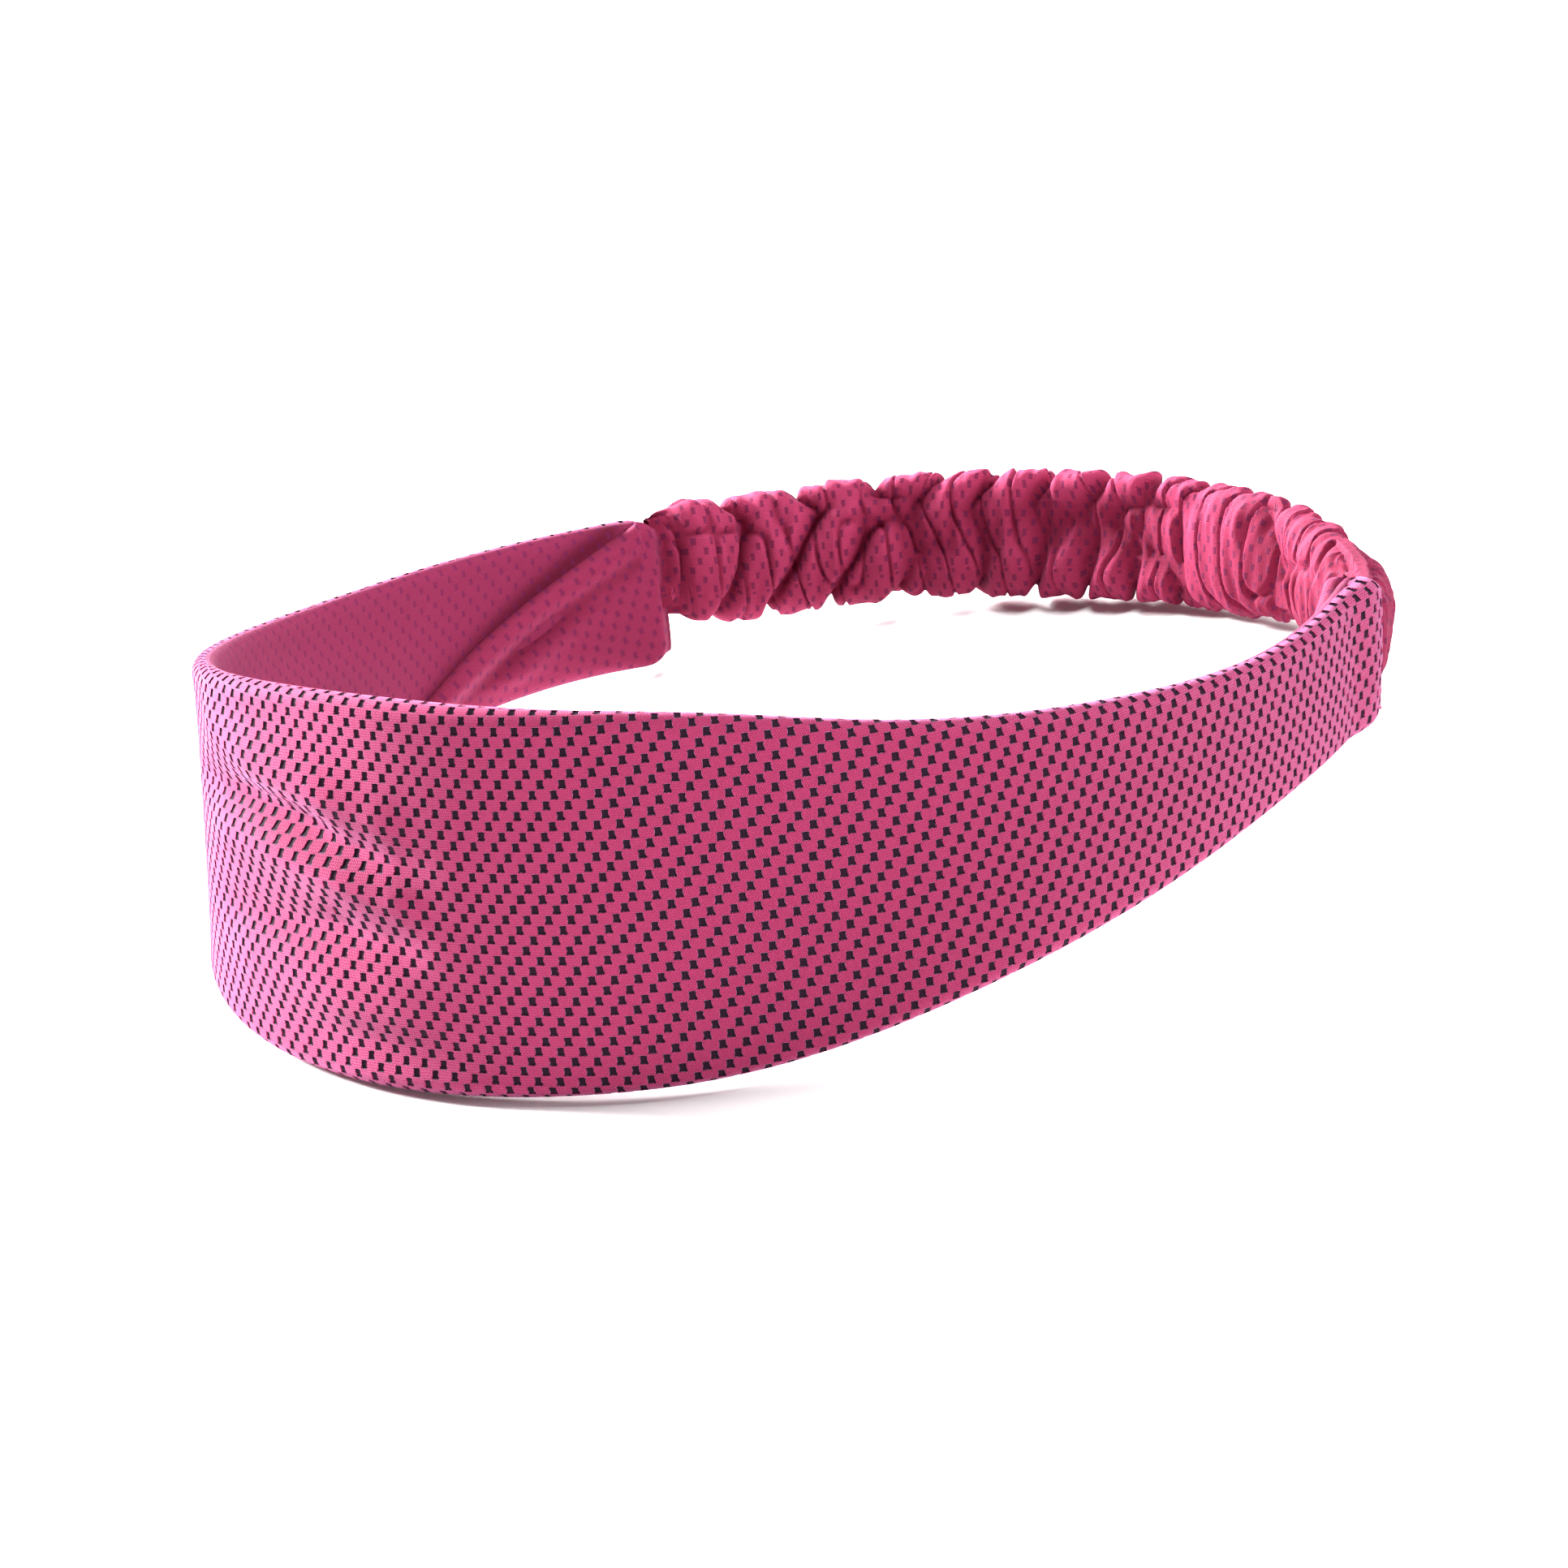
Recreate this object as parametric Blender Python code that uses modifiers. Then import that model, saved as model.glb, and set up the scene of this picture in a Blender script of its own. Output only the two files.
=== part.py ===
"""Sports headband: a wide two-layer mesh-knit front that tapers to a narrow gathered casing with elastic in it.

Units are metres. The band stands on its lower edge, the wearer's front faces -Y and +Z is up. Everything
follows one loop: `turn` is the angle round it from the front centre, positive towards +X, and a section is
given as (outwards, upwards) distances from the loop's lower edge. Each cloth piece is an open surface with a
Solidify modifier, and each thread is a bevelled curve. The right side is modelled, and the left one is its
mirror image.
"""

import math

import bpy
from mathutils import Vector

MM = 0.001

# The loop, along the lower edge of the band.
LOOP_HALF_WIDTH = 71.4 * MM
LOOP_SQUARENESS = 2.1 * MM
LOOP_HALF_DEPTH = 83.2 * MM
LOOP_CENTRE_Y = -3.015 * MM
LOOP_BASE_Z = 0.045 * MM
SIDE_ARCH = 4.8 * MM  # how far the lower edge lifts off the table at the sides

# The front panel: face cloth with rolled edges, lining between them, and a flap turned in at each end.
PANEL_END = math.radians(125.0)
FRONT_HEIGHT = 51.6 * MM
END_HEIGHT = 21.0 * MM
TAPER = 1.25
FACE_CLOTH = 1.1 * MM
FACE_OFFSET = 1.2 * MM
LIP_LENGTH = 2.2 * MM
ROLL_RADIUS = 1.4 * MM
ROLL_CENTRE = ROLL_RADIUS + FACE_CLOTH / 2
LIP_OFFSET = FACE_OFFSET - 2 * ROLL_RADIUS
PILLOW = 0.9 * MM
END_BULGE = 1.7 * MM
END_BULGE_ARC = math.radians(9.0)
LINING_CLOTH = 0.8 * MM
LINING_OFFSET = -0.2 * MM
LINING_MARGIN = 2.2 * MM
FLAP_CLOTH = 0.84 * MM
FLAP_MARGIN = 4.5 * MM
FLAP_ARC = math.radians(37.0)
FLAP_TOE = 2.0 * MM
FLAP_RISE = 1.06

# The gathered casing, with its joining seam turned inside, and the elastic that runs through it.
CASING_CLOTH = 0.8 * MM
CASING_HALF_THICK = 3.1 * MM
CASING_HALF_TALL = 7.7 * MM
PUFF_THICK = 1.3 * MM
PUFF_TALL = 0.75 * MM
CORNER = 0.75  # below 1 squares the casing's oval section
GATHERS = 20
CASING_MIDDLE = CASING_HALF_TALL + PUFF_TALL + CASING_CLOTH / 2 + 0.05 * MM
REAR_ARC = math.radians(29.0)  # the rear length spans this much either side of the back centre
GAP = 0.4 * MM
SEAM_CLOTH = 0.7 * MM
SEAM_OFFSET = -1.6 * MM
SEAM_LOW, SEAM_HIGH = CASING_MIDDLE - 4.6 * MM, CASING_MIDDLE - 2.2 * MM
ELASTIC_TALL = 12.5 * MM
ELASTIC_THICK = 1.2 * MM
TAIL_ARC = math.radians(3.9)
TAIL_OFFSET = 1.45 * MM
TAIL_CLEAR = 0.15 * MM

# Threads.
EDGE_THREAD_RADIUS = 0.22 * MM
EDGE_THREAD_DEPTH = 1.64 * MM
STITCH_RADIUS = 0.26 * MM
STITCH_INSET = 2.6 * MM
STITCH_SWING = 0.35 * MM
STITCHES = 6
THREAD_CLEAR = 0.32 * MM

# Linear colours.
PINK = (0.62, 0.09, 0.24)
DEEP_PINK = (0.50, 0.05, 0.16)
PALE = (0.75, 0.60, 0.64)


def clear_scene():
    for obj in list(bpy.data.objects):
        bpy.data.objects.remove(obj)


def ease(share):
    share = min(max(share, 0.0), 1.0)
    return share * share * (3 - 2 * share)


def foot(turn):
    """The point of the loop's lower edge at this turn."""
    return Vector(
        (
            LOOP_HALF_WIDTH * math.sin(turn) + LOOP_SQUARENESS * math.sin(3 * turn),
            LOOP_CENTRE_Y - LOOP_HALF_DEPTH * math.cos(turn),
            LOOP_BASE_Z + SIDE_ARCH * math.sin(turn) ** 2,
        )
    )


def arc_speed(turn, step=1e-3):
    """Metres along the loop for each radian of turn."""
    return (foot(turn + step) - foot(turn - step)).length / (2 * step)


def place(turn, outwards, upwards, step=1e-4):
    """A point of the wall, which leans a little to the rear."""
    along = (foot(turn + step) - foot(turn - step)).normalized()
    lean_x = -0.06 * math.sin(2 * turn)
    lean_y = 0.155 - 0.06 * math.cos(turn) + 0.04 * math.cos(2 * turn)
    lean = Vector((lean_x, lean_y, 1.0))
    out = along.cross(lean).normalized()
    up = (lean - out * lean.dot(out)).normalized()
    return foot(turn) + out * outwards + up * upwards


def height(turn):
    """Height of the front panel, from its full height in front to its narrow ends."""
    share = 0.5 + 0.5 * math.cos(math.pi * min(abs(turn) / PANEL_END, 1.0))
    return END_HEIGHT + (FRONT_HEIGHT - END_HEIGHT) * share**TAPER


def bulge(turn):
    """Room by the sewn ends, where a tail of the elastic lies between the two layers."""
    return END_BULGE * ease((abs(turn) - PANEL_END + END_BULGE_ARC) / (END_BULGE_ARC * 0.6))


def turns_between(start, end, count):
    return [start + (end - start) * i / count for i in range(count + 1)]


def colour(obj, rgb, roughness=0.85):
    material = bpy.data.materials.new(obj.name)
    material.use_nodes = True
    shader = material.node_tree.nodes["Principled BSDF"]
    shader.inputs["Base Color"].default_value = (*rgb, 1.0)
    shader.inputs["Roughness"].default_value = roughness
    obj.data.materials.clear()
    obj.data.materials.append(material)


def cloth(name, turns, section, thickness, rgb, tube=False):
    """A piece of cloth: `section(turn)` is the line through the middle of its thickness."""
    points = [place(turn, n, t) for turn in turns for n, t in section(turn)]
    size = len(section(turns[0]))
    faces = []
    for i in range(len(turns) - 1):
        for j in range(size if tube else size - 1):
            k = (j + 1) % size
            faces.append((i * size + j, (i + 1) * size + j, (i + 1) * size + k, i * size + k))
    mesh = bpy.data.meshes.new(name)
    mesh.from_pydata([tuple(point) for point in points], [], faces)
    mesh.shade_smooth()
    obj = bpy.data.objects.new(name, mesh)
    PARTS.objects.link(obj)
    solidify = obj.modifiers.new("Thickness", "SOLIDIFY")
    solidify.thickness = thickness
    solidify.offset = 0.0
    solidify.use_even_offset = True
    colour(obj, rgb)
    return obj


def thread(name, path, radius, rgb):
    """A sewing thread along a list of points."""
    curve = bpy.data.curves.new(name, "CURVE")
    curve.dimensions = "3D"
    curve.bevel_depth = radius
    curve.bevel_resolution = 1
    curve.use_fill_caps = True
    spline = curve.splines.new("POLY")
    spline.points.add(len(path) - 1)
    for point, spot in zip(spline.points, path):
        point.co = (*spot, 1.0)
    obj = bpy.data.objects.new(name, curve)
    PARTS.objects.link(obj)
    colour(obj, rgb, 0.6)
    return obj


def mirror_image(obj, name):
    """The same piece on the other side of the head, with its own copy of the shape and its own material."""
    other = obj.copy()
    other.data = obj.data.copy()
    other.name = name
    other.data.name = name
    other.scale.x = -1.0
    PARTS.objects.link(other)
    shader = obj.data.materials[0].node_tree.nodes["Principled BSDF"].inputs
    colour(other, tuple(shader["Base Color"].default_value)[:3], shader["Roughness"].default_value)
    return other


def band(offset, low, high, rows=2):
    """The section of a flat strip between two heights, each a number or a function of the turn."""

    def section(turn):
        bottom = low(turn) if callable(low) else low
        top = high(turn) if callable(high) else high
        return [(offset, bottom + (top - bottom) * i / rows) for i in range(rows + 1)]

    return section


def face_section(turn, steps=6):
    """The face cloth: a wall, with both edges rolled over to short lips on the inside."""
    tall, push = height(turn), bulge(turn)
    middle = FACE_OFFSET - ROLL_RADIUS
    low_roll, high_roll = [], []
    for i in range(steps + 1):
        angle = math.pi - math.pi * i / steps
        n = middle + ROLL_RADIUS * math.cos(angle) + push * (0.5 - 0.5 * math.cos(math.pi - angle))
        rise = ROLL_RADIUS * math.sin(angle)
        low_roll.append((n, ROLL_CENTRE - rise))
        high_roll.append((n, tall - ROLL_CENTRE + rise))
    wall = []
    for share in (0.18, 0.34, 0.5, 0.66, 0.82):
        swell = PILLOW * math.sin(math.pi * share) * ease(tall / FRONT_HEIGHT)
        wall.append((FACE_OFFSET + swell + push, tall * share))
    low_lip = (LIP_OFFSET, ROLL_CENTRE + LIP_LENGTH)
    high_lip = (LIP_OFFSET, tall - ROLL_CENTRE - LIP_LENGTH)
    return [low_lip, *low_roll, *wall, *reversed(high_roll), high_lip]


def flap_top(turn):
    """The flap covers the whole end, and its slanting edge runs down to a toe at the lower lip."""
    share = min(max((abs(turn) - PANEL_END + FLAP_ARC) / FLAP_ARC, 0.0), 1.0)
    toe = FLAP_MARGIN + FLAP_TOE
    return toe + (height(turn) - FLAP_MARGIN - toe) * min(share * FLAP_RISE, 1.0)


def casing_section(turn, count=14):
    """A squared oval, drawn in at each gather and full on the puff between two gathers."""
    share = (turn - PANEL_END) / (math.pi - PANEL_END) * GATHERS / 2
    puff = abs(math.sin(math.pi * share)) ** 0.7
    outline = []
    for i in range(count):
        angle = 2 * math.pi * (i + 0.5) / count
        c, s = math.cos(angle), math.sin(angle)
        n = (CASING_HALF_THICK + PUFF_THICK * puff) * math.copysign(abs(c) ** CORNER, c)
        t = (CASING_HALF_TALL + PUFF_TALL * puff) * math.copysign(abs(s) ** CORNER, s)
        outline.append((n, CASING_MIDDLE + t))
    return outline


def gather_turns(start, end, per_gather=4):
    """Stations on every gather and every puff between `start` and `end`."""
    step = (math.pi - PANEL_END) * 2 / GATHERS / per_gather
    regular = [PANEL_END + step * i for i in range(1, GATHERS * per_gather)]
    return [start, *(turn for turn in regular if start + 0.3 * step < turn < end - 0.3 * step), end]


def casing_length(name, start, end, count):
    """One length of the casing with what is inside it."""
    made = [cloth(f"{name}_casing", gather_turns(start, end), casing_section, CASING_CLOTH, PINK, tube=True)]
    plain = turns_between(start, end, count)
    low, high = CASING_MIDDLE - ELASTIC_TALL / 2, CASING_MIDDLE + ELASTIC_TALL / 2
    made.append(cloth(f"{name}_elastic", plain, band(0.0, low, high, 1), ELASTIC_THICK, PALE))
    seam = band(SEAM_OFFSET, SEAM_LOW, SEAM_HIGH, 1)
    made.append(cloth(f"{name}_casing_seam", plain, seam, SEAM_CLOTH, DEEP_PINK))
    return made


clear_scene()
PARTS = bpy.data.collections.new("sports_headband")
bpy.context.scene.collection.children.link(PARTS)

panel_turns = turns_between(-PANEL_END, PANEL_END, 66)
cloth("face_panel", panel_turns, face_section, FACE_CLOTH, PINK)
lining = band(LINING_OFFSET, LINING_MARGIN, lambda turn: height(turn) - LINING_MARGIN, 3)
cloth("lining_panel", panel_turns, lining, LINING_CLOTH, DEEP_PINK)

edge_turns = turns_between(-PANEL_END + 0.02, PANEL_END - 0.02, 60)
top_edge = [place(turn, LINING_OFFSET, height(turn) - EDGE_THREAD_DEPTH) for turn in edge_turns]
thread("top_edge_thread", top_edge, EDGE_THREAD_RADIUS, PINK)
bottom_edge = [place(turn, LINING_OFFSET, EDGE_THREAD_DEPTH) for turn in edge_turns]
thread("bottom_edge_thread", bottom_edge, EDGE_THREAD_RADIUS, PINK)

# The right side.
flap = band(LIP_OFFSET, FLAP_MARGIN, flap_top, 2)
flap_turns = turns_between(PANEL_END - FLAP_ARC, PANEL_END, 14)
right = [cloth("right_turned_in_flap", flap_turns, flap, FLAP_CLOTH, PINK)]

stitch_turn = PANEL_END - STITCH_INSET / arc_speed(PANEL_END)
face_surface = FACE_OFFSET + END_BULGE + FACE_CLOTH / 2 + 0.25 * MM
for layer, offset in (
    ("outer", face_surface + THREAD_CLEAR + STITCH_RADIUS),
    ("inner", LIP_OFFSET - FACE_CLOTH / 2 - THREAD_CLEAR - STITCH_RADIUS),
):
    stitches = []
    for i in range(STITCHES * 4 + 1):
        swing = STITCH_SWING * math.sin(math.pi * i / 2) / arc_speed(stitch_turn)
        rise = ROLL_CENTRE + (END_HEIGHT - 2 * ROLL_CENTRE) * i / (STITCHES * 4)
        stitches.append(place(stitch_turn + swing, offset, rise))
    right.append(thread(f"right_end_{layer}_thread", stitches, STITCH_RADIUS, PINK))

tail = band(TAIL_OFFSET, (END_HEIGHT - ELASTIC_TALL) / 2, (END_HEIGHT + ELASTIC_TALL) / 2, 1)
tail_end = PANEL_END - TAIL_CLEAR / arc_speed(PANEL_END)
tail_turns = turns_between(PANEL_END - TAIL_ARC, tail_end, 3)
right.append(cloth("right_elastic_tail", tail_turns, tail, ELASTIC_THICK, PALE))

rear_start = math.pi - REAR_ARC
half_gap = GAP / 2 / arc_speed(rear_start)
right += casing_length("right", PANEL_END + GAP / arc_speed(PANEL_END), rear_start - half_gap, 8)

for piece in right:
    mirror_image(piece, piece.name.replace("right", "left"))

casing_length("rear", rear_start + half_gap, 2 * math.pi - rear_start - half_gap, 14)
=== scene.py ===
"""Sports headband in pink mesh knit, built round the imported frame, in metres.

The band is described as in the CAD: `turn` is the angle round the loop from the front centre, positive
towards +X, and a section is given by distances (outwards, upwards) from the loop's lower edge. Cloth is laid
out in its own flat coordinates, s along the band and v across it, which are also its UV map in millimetres.
"""

import math

import bmesh
import bpy
import numpy as np
from mathutils import Matrix, Vector


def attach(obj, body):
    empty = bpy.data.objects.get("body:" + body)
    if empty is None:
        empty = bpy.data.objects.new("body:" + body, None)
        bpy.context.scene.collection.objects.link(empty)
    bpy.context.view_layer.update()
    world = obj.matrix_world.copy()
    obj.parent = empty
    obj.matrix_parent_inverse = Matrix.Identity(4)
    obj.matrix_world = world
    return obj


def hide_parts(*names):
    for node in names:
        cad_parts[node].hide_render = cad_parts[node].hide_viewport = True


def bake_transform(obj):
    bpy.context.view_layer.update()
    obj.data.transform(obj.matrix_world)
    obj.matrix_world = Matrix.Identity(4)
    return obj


MM = 0.001
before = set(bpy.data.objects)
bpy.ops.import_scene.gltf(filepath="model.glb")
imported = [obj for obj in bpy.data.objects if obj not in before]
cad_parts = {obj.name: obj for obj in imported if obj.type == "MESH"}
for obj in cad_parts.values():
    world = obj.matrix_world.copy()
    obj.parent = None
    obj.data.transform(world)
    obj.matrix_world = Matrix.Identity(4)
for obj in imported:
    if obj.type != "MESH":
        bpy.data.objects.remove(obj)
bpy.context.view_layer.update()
rng = np.random.default_rng(7)

# The loop, as the CAD has it.
LOOP_HALF_WIDTH, LOOP_SQUARENESS = 71.4 * MM, 2.1 * MM
LOOP_HALF_DEPTH, LOOP_CENTRE_Y = 83.2 * MM, -3.015 * MM
LOOP_BASE_Z, SIDE_ARCH = 0.045 * MM, 4.8 * MM
PANEL_END = math.radians(125.0)
FRONT_HEIGHT, END_HEIGHT, TAPER = 51.6 * MM, 21.0 * MM, 1.25
ELASTIC_TALL, ELASTIC_THICK = 12.5 * MM, 1.2 * MM
CASING_MIDDLE = 8.9 * MM

# The panel's cloth.
ROLL = 1.95 * MM  # outer radius of the rolled edges
ROLL_N = -0.2 * MM  # where the roll's centre line lies, outwards
LIP = 0.7 * MM  # flat cloth past the roll, inside
TUCK = 1.75  # angle round the roll, in radians, where the lining meets the face
LINING_WRAP = math.pi - TUCK + 0.12  # how far the lining goes round the roll, in radians
PILLOW = 0.9 * MM  # how far the middle of the front swells
END_BULGE, END_BULGE_ARC = 1.7 * MM, math.radians(9.0)
END_PINCH = 0.6  # share of its thickness that the panel loses at an end seam

# The turned-in flaps: from the toe at the lower edge, the slanting edge rises over the span to the upper edge.
FLAP_TOE, FLAP_SPAN = math.radians(88.0), math.radians(34.0)
FLAP_TOE_TALL = 2.4 * MM
FLAP_WRAP = 1.1  # how far a flap goes round the roll, in radians
FLAP_GRAIN = math.radians(20.0)

# The knit's eyelets. Columns slant by SKEW, and every second row is half a pitch along.
PITCH = 2.9 * MM
ROW = 1.335 * MM
SKEW = 0.2
RECESS = 0.17 * MM
WALES_PER_PITCH, COURSES_PER_ROW = 7.0, 4.0


# ---------------------------------------------------------------- geometry of the loop


def ease(share):
    """0 below 0, 1 above 1 and smooth between."""
    share = np.clip(share, 0.0, 1.0)
    return share * share * (3 - 2 * share)


def hump(value, centre, spread):
    """1 at the centre, falling off to both sides."""
    return np.exp(-(((value - centre) / spread) ** 2))


def unit(vectors):
    return vectors / np.linalg.norm(vectors, axis=-1, keepdims=True)


def settle(turn):
    """The left end lies lower: its corner rests on the table, and the casing rises from it."""
    past = np.degrees(-turn) - 90.0
    arc, rise_arc = 35, 9
    return 3.2 * MM * np.clip(past / arc, 0, 1) ** 2 * (1 - ease((past - arc) / rise_arc))


def slimmer(turn):
    """How much less tall the panel is at its right side than its plain taper."""
    return 2.4 * MM * hump(np.degrees(turn), 101, 19)


def taller(turn):
    """The front's right bend stands a little taller than its plain taper."""
    return 2.0 * MM * hump(np.degrees(turn), 37, 17)


def foot(turn):
    """The loop's lower edge."""
    x = LOOP_HALF_WIDTH * np.sin(turn) + LOOP_SQUARENESS * np.sin(3 * turn)
    y = LOOP_CENTRE_Y - LOOP_HALF_DEPTH * np.cos(turn)
    z = LOOP_BASE_Z + SIDE_ARCH * np.sin(turn) ** 2 + 0.5 * slimmer(turn) - 0.35 * taller(turn)
    return np.stack([x, y, z - settle(turn)], -1)


def axes(turn, step=1e-4):
    """Directions along the band, outwards, and up in the cloth, which leans a little off the vertical."""
    along = unit(foot(turn + step) - foot(turn - step))
    lean_x = -0.06 * np.sin(2 * turn)
    lean_y = 0.155 - 0.06 * np.cos(turn) + 0.04 * np.cos(2 * turn)
    lean = np.stack([lean_x, lean_y, np.ones_like(turn)], -1)
    out = unit(np.cross(along, lean))
    up = unit(lean - out * (lean * out).sum(-1, keepdims=True))
    return along, out, up


def place(turn, n, t):
    """The point n outwards and t upwards from the lower edge."""
    turn, n, t = np.broadcast_arrays(np.asarray(turn, float), n, t)
    _, out, up = axes(turn)
    return foot(turn) + out * n[..., None] + up * t[..., None]


TURNS = np.linspace(-math.pi * 1.35, math.pi * 1.35, 8001)
ARC = np.concatenate([[0.0], np.cumsum(np.linalg.norm(np.diff(foot(TURNS), axis=0), axis=1))])
ARC -= np.interp(0.0, TURNS, ARC)


def turn_at(s):
    return np.interp(s, ARC, TURNS)


def arc_at(turn):
    return np.interp(turn, TURNS, ARC)


def height(turn):
    share = 0.5 + 0.5 * np.cos(math.pi * np.minimum(np.abs(turn) / PANEL_END, 1.0))
    return END_HEIGHT + (FRONT_HEIGHT - END_HEIGHT) * share**TAPER - slimmer(turn) + taller(turn)


S_END = float(arc_at(PANEL_END))
S_REAR_END = float(arc_at(2 * math.pi - PANEL_END))


def bulge(turn):
    """The panel's ends stand out over the casing's."""
    return END_BULGE * ease((np.abs(turn) - PANEL_END + END_BULGE_ARC) / (END_BULGE_ARC * 0.6))


def pinch(s):
    """How far the layers close on the casing in the last millimetres before the end seam."""
    return ease((np.abs(s) - S_END + 2.0 * MM) / (2.0 * MM))


def cornered(s, t, tall):
    """The panel's ends have their corners taken off."""
    near = ease((np.abs(s) - S_END + 4.5 * MM) / (4.5 * MM)) ** 1.6
    return tall / 2 + (t - tall / 2) * (1 - 0.17 * near)


def casing_rise(turn):
    """By its two ends the casing lies a little higher on the panel."""
    near = np.minimum(arc_at(turn) - S_END, S_REAR_END - arc_at(turn))
    return 1.5 * MM * (1 - ease(near / (14.0 * MM)))


# ---------------------------------------------------------------- materials


class Graph:
    """A short way to write a node tree: each call adds a node and returns its first output."""

    def __init__(self, name):
        self.material = bpy.data.materials.new(name)
        self.material.use_nodes = True
        self.tree = self.material.node_tree
        self.shader = self.tree.nodes["Principled BSDF"]

    def node(self, kind, inputs=(), output=0, **settings):
        made = self.tree.nodes.new(kind)
        for key, value in settings.items():
            setattr(made, key, value)
        for key, value in dict(inputs).items():
            self.put(made.inputs[key], value)
        return made.outputs[output]

    def put(self, socket, value):
        if isinstance(value, bpy.types.NodeSocket):
            self.tree.links.new(value, socket)
        else:
            socket.default_value = value

    def math(self, operation, *values):
        return self.node("ShaderNodeMath", dict(enumerate(values)), operation=operation)

    def mix(self, share, a, b):
        return self.node("ShaderNodeMix", {0: share, 6: a, 7: b}, 2, data_type="RGBA", blend_type="MIX")

    def smooth(self, value, low, high, to_low=0.0, to_high=1.0):
        inputs = {0: value, 1: low, 2: high, 3: to_low, 4: to_high}
        return self.node("ShaderNodeMapRange", inputs, interpolation_type="SMOOTHSTEP")

    def noise(self, vector, scale, detail=2.0, roughness=0.5):
        inputs = {"Vector": vector, "Scale": scale, "Detail": detail, "Roughness": roughness}
        return self.node("ShaderNodeTexNoise", inputs)

    def set(self, **values):
        for key, value in values.items():
            self.put(self.shader.inputs[key.replace("_", " ")], value)


def shaded(colour, *factors):
    """The colour times one factor, or times one for each of red, green and blue."""
    factors = factors * 3 if len(factors) == 1 else factors
    return tuple(k * c for k, c in zip(factors, colour)) + (1,)


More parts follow.
